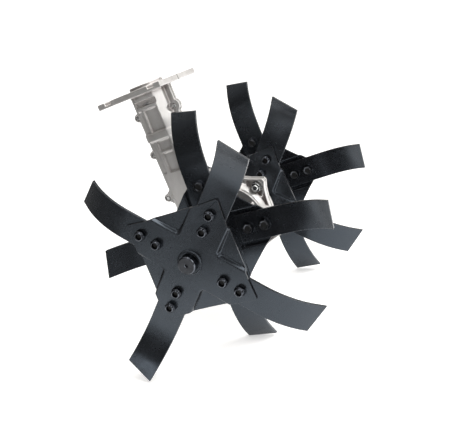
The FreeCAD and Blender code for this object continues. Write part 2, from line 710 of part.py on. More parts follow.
def worm_wheel():
    """The bronze wheel, its teeth leaned to the worm's lead, in the column frame."""
    module = size("gear_module")
    teeth = int(size("wheel_teeth"))
    pitch_radius = module * teeth / 2
    lead = math.pi * module
    face = size("wheel_face")
    lead_slope = lead / (math.tau * size("worm_pitch_radius"))
    twist = math.degrees(face * lead_slope / pitch_radius)
    flank = math.tan(math.radians(20))
    half = lead / 4 - size("tooth_play") / 4
    tip = pitch_radius + module - 0.15
    root = pitch_radius - 1.25 * module

    def outline(level, turn):
        points = []
        for index in range(teeth):
            # A gap, not a tooth, lies opposite the worm's crest at 180 degrees.
            centre = 180 + 360 / teeth * (index + 0.5) + turn
            for radius, side in ((root, -1), (tip, -1), (tip, 1), (root, 1)):
                width = half - (radius - pitch_radius) * flank
                angle = math.radians(centre + side * math.degrees(width / radius))
                points.append(Vector(radius * math.cos(angle), level, radius * math.sin(angle)))
        return Part.makePolygon(points + points[:1])

    sections = [outline(-face / 2, twist / 2), outline(face / 2, -twist / 2)]
    solid = Part.makeLoft(sections, True, True)
    hub_radius = size("axle_core_radius") + 6
    hub_half = size("wheel_hub_length") / 2
    solid = solid.fuse(Part.makeCylinder(hub_radius, 2 * hub_half, Y_AXIS * -hub_half, Y_AXIS))
    for side in (-1, 1):
        floor = Y_AXIS * side * (face / 2 - 4)
        recess = Part.makeCylinder(root - 5, 10, floor, Y_AXIS * side)
        recess = recess.cut(Part.makeCylinder(hub_radius, 10, floor, Y_AXIS * side))
        solid = solid.cut(recess)
    solid = solid.cut(Part.makeCylinder(size("axle_core_radius"), 80, Y_AXIS * -40, Y_AXIS))
    width = size("key_width")
    solid = solid.cut(Part.makeBox(size("axle_core_radius") + 3.5, 80, width, Vector(0, -40, -width / 2)))
    subpart("worm_wheel", stored("WormWheel", solid), "column")


# ---------------------------------------------------------------- axle and hubs

def axle_group():
    """The axle with its key and spacers, and the tube, pin and clip of each rotor."""
    half = [
        ("0", "-axle_end"), ("axle_radius - 1.5", "-axle_end"), ("axle_radius", "-axle_end + 1.5"),
        ("axle_radius", "-boss_depth - 1"), ("axle_journal_radius", "-boss_depth - 1"),
        ("axle_journal_radius", "-wheel_hub_length / 2"), ("axle_core_radius", "-wheel_hub_length / 2"),
        ("axle_core_radius", "wheel_hub_length / 2"), ("axle_journal_radius", "wheel_hub_length / 2"),
        ("axle_journal_radius", "boss_depth + 1"), ("axle_radius", "boss_depth + 1"),
        ("axle_radius", "axle_end - 1.5"), ("axle_radius - 1.5", "axle_end"), ("0", "axle_end"),
    ]
    bar = turned("AxleBar", half)
    key_depth = "axle_core_radius - key_height / 2"
    keyway = block("Keyway", (key_depth, "axle_core_radius + 1"), ("-key_length / 2", "key_length / 2"),
                   ("-key_width / 2", "key_width / 2"))
    tools = [keyway]
    for index, side in enumerate(("-", "")):
        tools.append(rod(f"AxlePinHole{index}", "z", "hub_pin_radius + 0.05", "-20", "20",
                         ("0", f"{side}hub_pin_offset")))
        inward = ("-axle_end", "-axle_end + 3") if side else ("axle_end - 3", "axle_end")
        radii = ("2.5", "0.4") if side else ("0.4", "2.5")
        tools.append(taper(f"Centre{index}", "y", *radii, *inward))
    subpart("axle", cut("Axle", bar, tools), "column")

    key = block("Key", (key_depth, "axle_core_radius + key_height / 2"),
                ("-key_length / 2", "key_length / 2"), ("-key_width / 2", "key_width / 2"))
    subpart("wheel_key", together("WheelKey", [key]), "column")
    spacer = ring("Spacer", "axle_journal_radius", "axle_journal_radius + 3.5", "-case_depth",
                  "-wheel_hub_length / 2")
    subpart("axle_spacers", both_sides("Spacers", spacer), "axle")

    tube = ring("Tube", "axle_radius + tube_play", "tube_radius", "-tube_end", "-tube_start")
    tube_hole = rod("TubePinHole", "z", "hub_pin_radius + 0.05", "-20", "20", ("0", "-hub_pin_offset"))
    bored = cut("BoredTube", tube, [tube_hole])
    subpart("near_hub_tube", together("NearTube", [bored]), "column")
    subpart("far_hub_tube", mirrored("FarTube", bored), "column")

    shank = rod("PinShank", "z", "hub_pin_radius", "-tube_radius - 6", "tube_radius + 0.5",
                ("0", "-hub_pin_offset"))
    head = rod("PinHead", "z", "hub_pin_radius + 2.5", "tube_radius + 0.3", "tube_radius + 3.3",
               ("0", "-hub_pin_offset"))
    clip_hole = rod("ClipHole", "y", "1.25", "-70", "-40", ("0", "-tube_radius - 3"))
    pin = cut("HubPin", join("HubPinSolid", [shank, head]), [clip_hole])
    subpart("hub_pins", both_sides("HubPins", pin), "column")

    bend = size("hub_clip_bend")
    level = -size("tube_radius") - 3
    start = Vector(0, -size("hub_pin_offset") - 9, level)
    turn_start = Vector(0, -size("hub_pin_offset") + 4, level)
    turn_top = turn_start + Vector(bend, bend, 0)
    turn_end = turn_start + Vector(2 * bend, 0, 0)
    finish = turn_end - Vector(0, 11, 0)
    path = Part.Wire([Part.makeLine(start, turn_start), Part.Arc(turn_start, turn_top, turn_end).toShape(),
                      Part.makeLine(turn_end, finish)])
    section = Part.Wire(Part.makeCircle(size("hub_clip_radius"), start, Y_AXIS))
    clip = stored("HubClip", path.makePipeShell([section], True, False))
    subpart("hub_pin_clips", both_sides("HubClips", clip), "column")


# ---------------------------------------------------------------- rotors

def pressed_plate():
    """A four-cornered plate with a raised cross, its arms along X and Z, its high face at Y = 0."""
    reach = size("plate_reach")
    middle = reach / math.sqrt(2) - size("plate_edge_sag")
    corners = [Vector(reach * math.cos(math.pi / 2 * i), 0, reach * math.sin(math.pi / 2 * i))
               for i in range(5)]
    edges = []
    for index in range(4):
        angle = math.pi / 2 * (index + 0.5)
        waist = Vector(middle * math.cos(angle), 0, middle * math.sin(angle))
        edges.append(Part.Arc(corners[index], waist, corners[index + 1]).toShape())
    thickness = size("plate_thickness")
    press = size("press_depth")
    lean = math.radians(size("press_lean"))
    depth = thickness + press
    blank = Part.Face(Part.Wire(edges)).extrude(Y_AXIS * depth)
    blank = blank.common(Part.makeCylinder(reach - 2, depth, Vector(), Y_AXIS))

    def bars(top_half, top, bottom):
        """A cross of two bars whose sides spread a little from the top level down."""
        bottom_half = top_half + (bottom - top) * math.tan(lean)
        solids = []
        for direction, across in ((X_AXIS, Z_AXIS), (Z_AXIS, X_AXIS)):
            start = direction * -120
            points = [start + across * x + Y_AXIS * y for x, y in
                      ((-top_half, top), (top_half, top), (bottom_half, bottom), (-bottom_half, bottom))]
            solids.append(Part.Face(Part.makePolygon(points + points[:1])).extrude(direction * 240))
        return solids[0].fuse(solids[1])

    half = size("channel_half_width")
    floor = Part.makeBox(240, thickness, 240, Vector(-120, press, -120))
    plate = blank.common(floor.fuse(bars(half, 0, depth)))
    inset = thickness * math.tan((math.pi / 2 - lean) / 2)
    plate = plate.cut(bars(half - inset, thickness, depth + 1))
    plate = plate.cut(Part.makeCylinder(size("tube_radius"), 20, Y_AXIS * -5, Y_AXIS))
    for index in range(4):
        angle = math.pi / 2 * index
        for radius in (size("inner_bolt_radius"), size("outer_bolt_radius")):
            centre = Vector(radius * math.cos(angle), -5, radius * math.sin(angle))
            plate = plate.cut(Part.makeCylinder(size("blade_bolt_radius"), 20, centre, Y_AXIS))
    return plate.removeSplitter()


def bent_point(along, across):
    """Where a point of the flat strip lies after bending: reach, width and throw."""
    skew = math.radians(size("blade_bend_skew"))
    angle = math.radians(size("blade_bend_angle"))
    radius = size("blade_bend_radius")
    past = along * math.cos(skew) + across * math.sin(skew) - size("blade_bend_start")
    side = -along * math.sin(skew) + across * math.cos(skew)
    if past <= 0:
        reach = past
        throw = 0.0
    elif past <= radius * angle:
        reach = radius * math.sin(past / radius)
        throw = radius * (1 - math.cos(past / radius))
    else:
        rest = past - radius * angle
        reach = radius * math.sin(angle) + rest * math.cos(angle)
        throw = radius * (1 - math.cos(angle)) + rest * math.sin(angle)
    reach += size("blade_bend_start")
    return (reach * math.cos(skew) - side * math.sin(skew),
            reach * math.sin(skew) + side * math.cos(skew), throw)


def bent_blade(hand):
    """A blade along X with its width along Z; hand +1 bends it towards +Y and -1 towards -Y."""
    start = size("blade_bend_start")
    radius = size("blade_bend_radius")
    half = size("blade_thickness") / 2
    angle = math.radians(size("blade_bend_angle"))
    centre = Vector(start, radius, 0)

    def side(offset):
        """The line, arc and line of one face of the sheet."""
        r = radius - offset
        def on_arc(turn):
            return centre + Vector(r * math.sin(turn), -r * math.cos(turn), 0)
        end = on_arc(angle) + Vector(math.cos(angle), math.sin(angle), 0) * 60
        return [Part.makeLine(Vector(-10, offset, 0), on_arc(0)),
                Part.Arc(on_arc(0), on_arc(angle / 2), on_arc(angle)).toShape(),
                Part.makeLine(on_arc(angle), end)]

    lower = side(-half)
    upper = side(half)
    ends = [Part.makeLine(lower[0].Vertexes[0].Point, upper[0].Vertexes[0].Point),
            Part.makeLine(lower[2].Vertexes[1].Point, upper[2].Vertexes[1].Point)]
    profile = Part.Wire(Part.__sortEdges__(lower + upper + ends))
    strip = Part.Face(profile).extrude(Z_AXIS * 160)
    strip.translate(Vector(0, 0, -80))
    strip.rotate(Vector(), Y_AXIS, -size("blade_bend_skew"))

    width = size("blade_width") / 2
    cut_slope = math.tan(math.radians(size("blade_tip_cut")))
    stations = (size("blade_root"), start, start + 30, start + 58)
    edge = [bent_point(along, -width) for along in stations + (size("blade_length") - width * cut_slope,)]
    back = [bent_point(along, width) for along in stations + (size("blade_length") + width * cut_slope,)]
    points = [Vector(reach, -60, across) for reach, across, _ in edge + back[::-1]]
    trim = Part.Face(Part.makePolygon(points + points[:1])).extrude(Y_AXIS * 120)
    blade = strip.common(trim)
    for bolt_radius in (size("inner_bolt_radius"), size("outer_bolt_radius")):
        hole = Part.makeCylinder(size("blade_bolt_radius"), 20, Vector(bolt_radius, -10, 0), Y_AXIS)
        blade = blade.cut(hole)
    if hand < 0:
        blade = blade.mirror(Vector(), Y_AXIS)
    return blade


def rotor_subpart(label, feature, plane, phase):
    """Stand a piece of a rotor in its plane, turned to its phase."""
    subpart(label, feature, "axle")
    feature.Placement.Rotation = Rotation(Y_AXIS, -1)
    bind(feature, Placement__Rotation__Angle=f"-({phase})", Placement__Base__y=plane)


def rotors():
    """Four pressed plates with four blades each, and the bolts that hold them."""
    plate_shape = pressed_plate()
    turned_plate = plate_shape.mirror(Vector(), Y_AXIS)
    blades = {hand: bent_blade(hand) for hand in (-1, 1)}
    seat = size("blade_thickness") / 2
    stack = seat + size("plate_thickness")
    grip = seat + size("case_washer_thickness")
    nut_end = stack + size("lock_nut_height")
    radius = size("blade_bolt_radius")
    flats = size("case_bolt_flats")
    bolt = bolt_shape(radius, -nut_end + size("blade_bolt_recess"), grip, flats, size("case_head_height"))
    nut = lock_nut_shape(radius, flats, -nut_end, -stack)
    disc = washer_shape(radius, size("blade_washer_radius"), seat, grip)
    for rotor, side in (("near", -1), ("far", 1)):
        bolts = []
        nuts = []
        washers = []
        for place in ("outer", "inner"):
            # The high face of the plate looks towards -Y on the plate nearer to -Y of each pair.
            low_face = (place == "outer") == (side < 0)
            phase_name = "outer_phase" if low_face else "inner_phase"
            phase = phase_name if side < 0 else f"{phase_name} + far_rotor_turn"
            plane = f"{'-' if side < 0 else ''}{place}_blade_plane"
            face = -1 if low_face else 1
            shape = plate_shape if low_face else turned_plate
            offset = f"{plane} {'-' if face < 0 else '+'} (blade_thickness / 2 + plate_thickness)"
            rotor_subpart(f"{rotor}_{place}_plate", stored(f"{rotor}{place}Plate", shape), offset, phase)
            for arm in range(4):
                hand = 1 if (arm % 2 == 0) == low_face else -1
                blade = stored(f"{rotor}{place}Blade{arm}", blades[hand])
                rotor_subpart(f"{rotor}_{place}_blade_{arm + 1}", blade, plane, f"{phase} + {90 * arm}")
                angle = math.radians(value(phase) + 90 * arm)
                for index, reach in enumerate((size("inner_bolt_radius"), size("outer_bolt_radius"))):
                    point = Vector(reach * math.cos(angle), value(plane), reach * math.sin(angle))
                    direction = Y_AXIS * -face
                    bolts.append(lay(bolt, point, direction, spin=25 * arm + 13 * index))
                    nuts.append(lay(nut, point, direction, spin=17 * arm + 31 * index))
                    washers.append(lay(disc, point, direction))
        for kind, solids in (("bolts", bolts), ("nuts", nuts), ("washers", washers)):
            subpart(f"{rotor}_rotor_{kind}", stored(f"{rotor}Rotor{kind}", Part.makeCompound(solids)), "axle")


def report_and_export():
    """Stop on a failed feature or a bad shape; otherwise write one file per sub-part."""
    doc.recompute()
    for item in doc.Objects:
        if "Invalid" in item.State or "Error" in item.State:
            raise RuntimeError(f"{item.Name} failed: {item.State}")
    os.makedirs("parts", exist_ok=True)
    whole = FreeCAD.BoundBox()
    for item in SUBPARTS:
        shape = item.Shape
        if shape.isNull() or not shape.isValid():
            raise RuntimeError(f"{item.Label} has a bad shape")
        shape.exportStep(f"parts/{item.Label}.step")
        whole.add(shape.BoundBox)
        print(f"{item.Label}: {len(shape.Solids)} solids, {shape.Volume:.0f} mm3")
    print(len(SUBPARTS), "sub-parts within", whole)


gearbox()
shaft_bearings()
axle_bearings()
worm()
worm_wheel()
axle_group()
rotors()
report_and_export()
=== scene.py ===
import bmesh
import bpy
import json
import math
from mathutils import Matrix, Vector


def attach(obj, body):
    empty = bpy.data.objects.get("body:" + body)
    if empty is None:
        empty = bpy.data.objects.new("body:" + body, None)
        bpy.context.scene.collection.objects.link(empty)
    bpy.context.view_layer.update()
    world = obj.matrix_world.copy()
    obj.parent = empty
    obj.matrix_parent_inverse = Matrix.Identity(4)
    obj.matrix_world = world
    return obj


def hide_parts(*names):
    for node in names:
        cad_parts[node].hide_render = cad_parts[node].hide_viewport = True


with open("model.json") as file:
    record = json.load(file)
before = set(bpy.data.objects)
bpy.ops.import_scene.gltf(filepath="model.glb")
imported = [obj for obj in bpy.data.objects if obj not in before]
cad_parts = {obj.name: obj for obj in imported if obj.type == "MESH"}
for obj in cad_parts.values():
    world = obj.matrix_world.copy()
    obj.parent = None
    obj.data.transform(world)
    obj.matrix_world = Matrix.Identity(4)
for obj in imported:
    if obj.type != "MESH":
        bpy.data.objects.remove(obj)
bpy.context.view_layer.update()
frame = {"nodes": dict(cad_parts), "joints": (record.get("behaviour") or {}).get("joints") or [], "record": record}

MM = 0.001
NODES = frame["nodes"]
BODY_OF = {name: body for body, names in frame["record"]["behaviour"]["bodies"].items()
           for name in names}
SLOT_OF = {row["node"]: row["material_slot"] for row in frame["record"]["subparts"]}
JOINTS = {joint["name"]: joint for joint in frame["joints"]}
AXLE = Vector(JOINTS["rotor_spin"]["pos_m"])
ACROSS = Vector((0, 1, 0))
COLUMN_UP = Vector(JOINTS["input_spin"]["axis"])
COLUMN_SIDE = ACROSS.cross(COLUMN_UP)
COLUMN_FRAME = Matrix((COLUMN_SIDE, ACROSS, COLUMN_UP)).transposed().to_4x4()
RANGE_SOCKETS = ("From Min", "From Max", "To Min", "To Max")

# Roundings of the finished pieces.
PLATE_RIM = 0.5 * MM
PLATE_FOLD = 1.5 * MM
PLATE_CORNER = 5 * MM
BLADE_RIM = 0.55 * MM
TURNED_RIM = 0.5 * MM
ROTOR_BOLT_RIM = 0.4 * MM
SMALL_RIM = 0.25 * MM
CORNER_STEPS = 6
FOLD_STEPS = 5
RIM_STEPS = 2

# How far the faces at an edge turn, in degrees, for the edge to be rounded.
FOLD_TURN = (35, 78)
FOLDED_RIM_TURN = (78, 140)
RIM_TURN = (30, 140)
CORNER_TURN = 30

# The share of a face's normal that points across the axle.
LEANING = (0.15, 0.6)
HEAD_ON = 0.99
NEARLY_HEAD_ON = 0.9

# CAD mesh points this close are one, and faces that turn less than this, in degrees, are one face.
SAME_POINT = 0.002 * MM
SAME_FACE_TURN = 0.6

# The forged dish in the rotor bolts' heads.
HEAD_AREA = 95 * MM * MM
DISH_BORDER = 1.3 * MM
DISH_SLOPE = 1.0 * MM
DISH_DEPTH = 0.8 * MM

# The castings' skin: the grain of the remesh and the share of its faces that is kept.
CAST_GRAIN = 0.8 * MM
CAST_KEPT = 0.25
CAST_EASING = 4

# The welds.
WELD_SIZE = 2.2 * MM
WELD_ROOT = 0.3 * MM
WELD_RIPPLES = 54
STEPS_TO_A_RIPPLE = 6
WELD_STEPS_ACROSS = 6
RIPPLE_HEIGHT = 0.10
UNEVENNESS = 0.12
UNEVEN_SPOTS = 5


# ---------------------------------------------------------------- materials

class Paint:
    """A node material being built: a Principled shader with helpers for what drives it."""

    def __init__(self, name, color, metallic, roughness):
        self.material = bpy.data.materials.new(name)
        self.material.use_nodes = True
        self.tree = self.material.node_tree
        self.shader = self.tree.nodes["Principled BSDF"]
        self.shader.inputs["Base Color"].default_value = (*color, 1)
        self.shader.inputs["Metallic"].default_value = metallic
        self.shader.inputs["Roughness"].default_value = roughness
        self.place = self.tree.nodes.new("ShaderNodeTexCoord").outputs["Object"]

    def node(self, kind, **values):
        """A new node with some of its properties set."""
        made = self.tree.nodes.new(kind)
        for key, value in values.items():
            setattr(made, key, value)
        return made

    def link(self, output, socket):
        self.tree.links.new(output, socket)

    def noise(self, scale, detail=3.0, rough=0.55, stretch=(1, 1, 1)):
        """Noise in the object's own place, with scale in cells to a metre."""
        mapping = self.node("ShaderNodeMapping")
        mapping.inputs["Scale"].default_value = stretch
        self.link(self.place, mapping.inputs["Vector"])
        made = self.node("ShaderNodeTexNoise")
        made.inputs["Scale"].default_value = scale
        made.inputs["Detail"].default_value = detail
        made.inputs["Roughness"].default_value = rough
        self.link(mapping.outputs["Vector"], made.inputs["Vector"])
        return made.outputs["Fac"]

    def mark(self, name):
        """A number that the mesh carries for each face."""
        return self.node("ShaderNodeAttribute", attribute_name=name).outputs["Fac"]

    def along(self, axis):
        """The object's own place along one axis, in metres."""
        split = self.node("ShaderNodeSeparateXYZ")
        self.link(self.place, split.inputs[0])
        return split.outputs[axis]

    def ranged(self, source, low, high, to_low, to_high):
        """A value moved from one range to another and held there."""
        made = self.node("ShaderNodeMapRange", clamp=True)
        for socket, number in zip(RANGE_SOCKETS, (low, high, to_low, to_high)):
            made.inputs[socket].default_value = number
        self.link(source, made.inputs["Value"])
        return made.outputs["Result"]

    def combine(self, operation, one, other):
        """Two values put together, the second an output or a number."""
        made = self.node("ShaderNodeMath", operation=operation)
        self.link(one, made.inputs[0])
        if isinstance(other, float):
            made.inputs[1].default_value = other
        else:
            self.link(other, made.inputs[1])
        return made.outputs[0]

    def blend(self, share, one, other):
        """A colour between two, each an output or a triple."""
        made = self.node("ShaderNodeMix", data_type="RGBA")
        self.link(share, made.inputs["Factor"])
        for socket, colour in ((made.inputs[6], one), (made.inputs[7], other)):
            if isinstance(colour, tuple):
                socket.default_value = (*colour, 1)
            else:
                self.link(colour, socket)
        return made.outputs[2]

    def colour(self, output):
        self.link(output, self.shader.inputs["Base Color"])

    def roughness(self, output):
        self.link(output, self.shader.inputs["Roughness"])

    def glow(self, output):
        self.link(output, self.shader.inputs["Emission Color"])

    def bump(self, height, distance, strength=1.0):
        """Height in shares of distance, in metres, added to what is there."""
        made = self.node("ShaderNodeBump")
        made.inputs["Strength"].default_value = strength
        made.inputs["Distance"].default_value = distance
        self.link(height, made.inputs["Height"])
        if self.shader.inputs["Normal"].links:
            self.link(self.shader.inputs["Normal"].links[0].from_socket, made.inputs["Normal"])
        self.link(made.outputs["Normal"], self.shader.inputs["Normal"])


def black_paint():
    """Semi-gloss black powder coat: faint clouds and orange peel, thinner and paler along the rims."""
    coat_dark = (0.006, 0.0062, 0.0068)
    coat_light = (0.010, 0.0106, 0.0122)
    worn = (0.115, 0.105, 0.098)
    worn_everywhere = 0.06
    paint = Paint("black_powder_coat", (0.007, 0.007, 0.008), 0.0, 0.3)
    paint.shader.inputs["Specular IOR Level"].default_value = 0.82
    paint.shader.inputs["Specular Tint"].default_value = (0.68, 0.80, 0.95, 1)
    cloud = paint.ranged(paint.noise(16, 4), 0.35, 0.65, 0, 1)
    coat = paint.blend(cloud, coat_dark, coat_light)
    chips = paint.ranged(paint.noise(340, 4, 0.7), 0.52, 0.62, 0.0, 0.35)
    wear = paint.combine("ADD", chips, worn_everywhere)
    rim = paint.combine("MULTIPLY", paint.mark("rim"), wear)
    paint.colour(paint.blend(rim, coat, worn))
    paint.roughness(paint.ranged(paint.noise(38, 5, 0.7), 0.3, 0.7, 0.20, 0.30))
    paint.bump(paint.noise(120, 1.0, 0.4), 0.04 * MM, 0.12)
    return paint.material


def cast_aluminium():
    """Raw die-cast alloy: fine grain, flow marks, patches of grey, painted warm shade in the hollows."""
    alloy_light = (0.70, 0.69, 0.685)
    alloy_dark = (0.53, 0.52, 0.51)
    hollow_shade = (0.20, 0.155, 0.145)
    paint = Paint("raw_die_cast_aluminium", (0.62, 0.61, 0.60), 0.84, 0.35)
    flow = paint.ranged(paint.noise(30, 5, 0.6, (1, 1, 0.35)), 0.35, 0.7, 0, 1)
    alloy = paint.blend(flow, alloy_light, alloy_dark)
    # Painted shade: an occlusion node darkens the hollows towards a warm brown.
    hollow = paint.node("ShaderNodeAmbientOcclusion", samples=12, only_local=True)
    hollow.inputs["Distance"].default_value = 9 * MM
    painted_shade = paint.ranged(hollow.outputs["AO"], 0.50, 0.95, 0.75, 0.0)
    paint.colour(paint.blend(painted_shade, alloy, hollow_shade))
    paint.roughness(paint.ranged(paint.noise(85, 4), 0.3, 0.7, 0.30, 0.43))
    paint.bump(paint.noise(900, 2), 0.06 * MM, 0.5)
    paint.bump(paint.noise(120, 3), 0.15 * MM, 0.35)
    return paint.material


def plated(name, light, dark, low, high):
    """A bare or plated metal, turned or polished, its roughness from low to high."""
    paint = Paint(name, light, 1.0, high)
    paint.colour(paint.blend(paint.ranged(paint.noise(160, 4), 0.35, 0.7, 0, 1), light, dark))
    paint.roughness(paint.ranged(paint.noise(260, 3), 0.3, 0.7, low, high))
    paint.bump(paint.noise(1400, 2), 0.03 * MM, 0.5)
    return paint.material


def black_oxide():
    """Black-plated fastener steel, dark and glossy, but dull and nearly black where the mark end is set: painted
    shade on the bolt ends sunk in their nuts.
    """
    film_light = (0.115, 0.125, 0.145)
    film_dark = (0.06, 0.065, 0.075)
    dark_matt_end = (0.006, 0.006, 0.006)
    end_roughness = 0.6
    paint = Paint("black_oxide", (0.1, 0.1, 0.1), 1.0, 0.2)
    paint.shader.inputs["Specular IOR Level"].default_value = 0.3
    film = paint.ranged(paint.noise(160, 4), 0.35, 0.7, 0, 1)
    plate = paint.blend(film, film_light, film_dark)
    # Painted shade: the mark end turns the bolt ends inside the nuts dull and nearly black; the axle's flat ends
    # take 0.6 of it.
    end = paint.mark("end")
    paint.colour(paint.blend(end, plate, dark_matt_end))
    paint.link(paint.ranged(end, 0, 1, 1, 0), paint.shader.inputs["Metallic"])
    shine = paint.ranged(paint.noise(260, 3), 0.3, 0.7, 0.10, 0.22)
    paint.roughness(paint.combine("MAXIMUM", shine, paint.ranged(end, 0, 1, 0, end_roughness)))
    return paint.material


def soft_rubber(name, light, dark):
    """A matt moulded rubber or fibre."""
    paint = Paint(name, light, 0.0, 0.7)
    paint.colour(paint.blend(paint.noise(220, 4), light, dark))
    paint.roughness(paint.ranged(paint.noise(90, 3), 0.3, 0.7, 0.6, 0.85))
    paint.bump(paint.noise(1200, 2), 0.05 * MM, 0.6)
    return paint.material


MATERIALS = {
    "black_paint": black_paint(),
    "cast_aluminium": cast_aluminium(),
    "zinc_plated_steel": plated("bright_zinc", (0.80, 0.81, 0.80), (0.62, 0.64, 0.65), 0.14, 0.28),
    "black_oxide_steel": black_oxide(),
    "machined_steel": plated("turned_steel", (0.55, 0.54, 0.53), (0.42, 0.42, 0.42), 0.2, 0.35),
    "bearing_steel": plated("polished_steel", (0.70, 0.70, 0.71), (0.60, 0.60, 0.62), 0.08, 0.16),
    "bronze": plated("gear_bronze", (0.62, 0.40, 0.17), (0.48, 0.29, 0.12), 0.25, 0.4),
    "seal_rubber": soft_rubber("seal_rubber", (0.020, 0.020, 0.020), (0.035, 0.035, 0.035)),
    "gasket_fibre": soft_rubber("gasket_fibre", (0.12, 0.13, 0.12), (0.20, 0.21, 0.19)),
}


def dress(obj, slot):
    """Give a piece its material."""
    obj.data.materials.clear()
    obj.data.materials.append(MATERIALS[slot])


for name, node in NODES.items():
    dress(node, SLOT_OF[name])


# ---------------------------------------------------------------- finished pieces that stand for CAD nodes

def new_piece(name, mesh, body, slot):
    """A piece with its material, riding on a body."""
    piece = bpy.data.objects.new(name, mesh)
    bpy.context.scene.collection.objects.link(piece)
    dress(piece, slot)
    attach(piece, body)
    return piece


def stand_in(name, mesh):
    """A piece that is shown instead of a CAD node."""
    piece = new_piece(name + "_finished", mesh, BODY_OF[name], SLOT_OF[name])
    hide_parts(name)
    return piece


def to_mesh(work, name):
    """The mesh of a bmesh that is done with."""
    mesh = bpy.data.meshes.new(name)
    work.to_mesh(mesh)
    work.free()
    return mesh


def bevel(work, edges, width, steps):
    """Rounds some edges and returns the new faces."""
    made = bmesh.ops.bevel(work, geom=edges, offset=width, offset_type="OFFSET", segments=steps,
                           profile=0.5, affect="EDGES", clamp_overlap=False, loop_slide=False)
    return made["faces"]


def round_edges(work, turns, width, steps):
    """Rounds the edges whose faces turn by an angle in that range, in degrees."""
    flattest, sharpest = turns
    edges = [edge for edge in work.edges
             if flattest < math.degrees(edge.calc_face_angle(0)) < sharpest]
    return bevel(work, edges, width, steps)


def round_corners(work):
    """Rounds the upright edges where two leaning flanks of a pressing meet."""
    def leans(face):
        return LEANING[0] < abs(face.normal.y) < LEANING[1]

    edges = [edge for edge in work.edges if all(leans(face) for face in edge.link_faces)
             and edge.calc_face_angle(0) > math.radians(CORNER_TURN)]
    bevel(work, edges, PLATE_CORNER, CORNER_STEPS)


def dish_heads(work):
    """Sinks a shallow dish into each forged bolt head, the widest flat faces across the axle."""
    heads = [face for face in work.faces
             if abs(face.normal.y) > HEAD_ON and face.calc_area() > HEAD_AREA]
    bmesh.ops.inset_individual(work, faces=heads, thickness=DISH_BORDER, use_even_offset=True)
    bmesh.ops.inset_individual(work, faces=heads, thickness=DISH_SLOPE, depth=-DISH_DEPTH,
                               use_even_offset=True)


def softened(name, rim, fold=0.0, dished=False):
    """A CAD node with its folds and its sharp edges rounded; the rounded edges carry the mark rim."""
    work = bmesh.new()
    work.from_mesh(NODES[name].data)
    bmesh.ops.remove_doubles(work, verts=work.verts, dist=SAME_POINT)
    bmesh.ops.dissolve_limit(work, angle_limit=math.radians(SAME_FACE_TURN), verts=work.verts,
                             edges=work.edges, use_dissolve_boundaries=False)
    mark = work.faces.layers.float.new("rim")
    if dished:
        dish_heads(work)
    if fold:
        round_corners(work)
        round_edges(work, FOLD_TURN, fold, FOLD_STEPS)
    for face in round_edges(work, FOLDED_RIM_TURN if fold else RIM_TURN, rim, RIM_STEPS):
        face[mark] = 1.0
    for face in work.faces:
        face.smooth = True
    piece = stand_in(name, to_mesh(work, name + "_finished"))
    even = piece.modifiers.new("even shading", "WEIGHTED_NORMAL")
    even.keep_sharp = False


def mark_ends(name, span, share):
    """Marks a turned piece's flat ends that lie within the span of another piece across the axle."""
    depths = [vertex.co.y for vertex in NODES[span].data.vertices]
    nearest, farthest = min(depths), max(depths)
    mesh = bpy.data.objects[name + "_finished"].data
    mark = mesh.attributes.new("end", "FLOAT", "FACE")
    for face in mesh.polygons:
        flat = abs(face.normal.y) > NEARLY_HEAD_ON
        within = nearest <= face.center.y <= farthest
        mark.data[face.index].value = share if flat and within else 0.0


def settle(piece):
    """Puts a piece's modifiers into its mesh."""
    shaped = piece.evaluated_get(bpy.context.evaluated_depsgraph_get())
    mesh = bpy.data.meshes.new_from_object(shaped)
    piece.modifiers.clear()
    piece.data = mesh


def cast_skin(name):
    """A casting whose edges and corners are as round as a die leaves them."""
    piece = stand_in(name, NODES[name].data.copy())
    piece.data.transform(COLUMN_FRAME.inverted())
    skin = piece.modifiers.new("skin", "REMESH")
    skin.mode = "VOXEL"
    skin.voxel_size = CAST_GRAIN
    ease = piece.modifiers.new("ease", "SMOOTH")
    ease.iterations = CAST_EASING
    settle(piece)
    thin = piece.modifiers.new("thin", "DECIMATE")
    thin.ratio = CAST_KEPT
    settle(piece)
    piece.data.transform(COLUMN_FRAME)
    piece.data.shade_smooth()


def weld_bead(plate, tube, side):
    """A rippled fillet weld, painted over, between a hub tube and one face of its plate."""
    def reach(vertex):
        return math.hypot(vertex.co.x - AXLE.x, vertex.co.z - AXLE.z)

    around = STEPS_TO_A_RIPPLE * WELD_RIPPLES
    radius = max(reach(vertex) for vertex in NODES[tube].data.vertices)
    depths = [vertex.co.y for vertex in NODES[plate].data.vertices
              if reach(vertex) < radius + WELD_SIZE]
    face = side * max(side * depth for depth in depths)
    work = bmesh.new()
    rings = []
    for step in range(around):
        turn = math.tau * step / around
        ripple = RIPPLE_HEIGHT * math.sin(WELD_RIPPLES * turn)
        swell = WELD_SIZE * (1 + ripple + UNEVENNESS * math.sin(UNEVEN_SPOTS * turn + side))
        points = [(radius - WELD_ROOT, face - side * WELD_ROOT)]
        for part in range(WELD_STEPS_ACROSS + 1):
            lean = math.pi / 2 * part / WELD_STEPS_ACROSS
            points.append((radius + swell * math.cos(lean), face + side * swell * math.sin(lean)))
        places = [(AXLE.x + away * math.cos(turn), depth, AXLE.z + away * math.sin(turn))
                  for away, depth in points]
        rings.append([work.verts.new(place) for place in places])
    for ring, following in zip(rings, rings[1:] + rings[:1]):
        for here, there in zip(range(len(ring)), [*range(1, len(ring)), 0]):
            corners = (ring[here], ring[there], following[there], following[here])
            work.faces.new(corners).smooth = True
    bmesh.ops.recalc_face_normals(work, faces=work.faces)
    mesh = to_mesh(work, plate + "_weld")
    new_piece(plate + ("_weld_far" if side > 0 else "_weld_near"), mesh, "rotor", "black_paint")


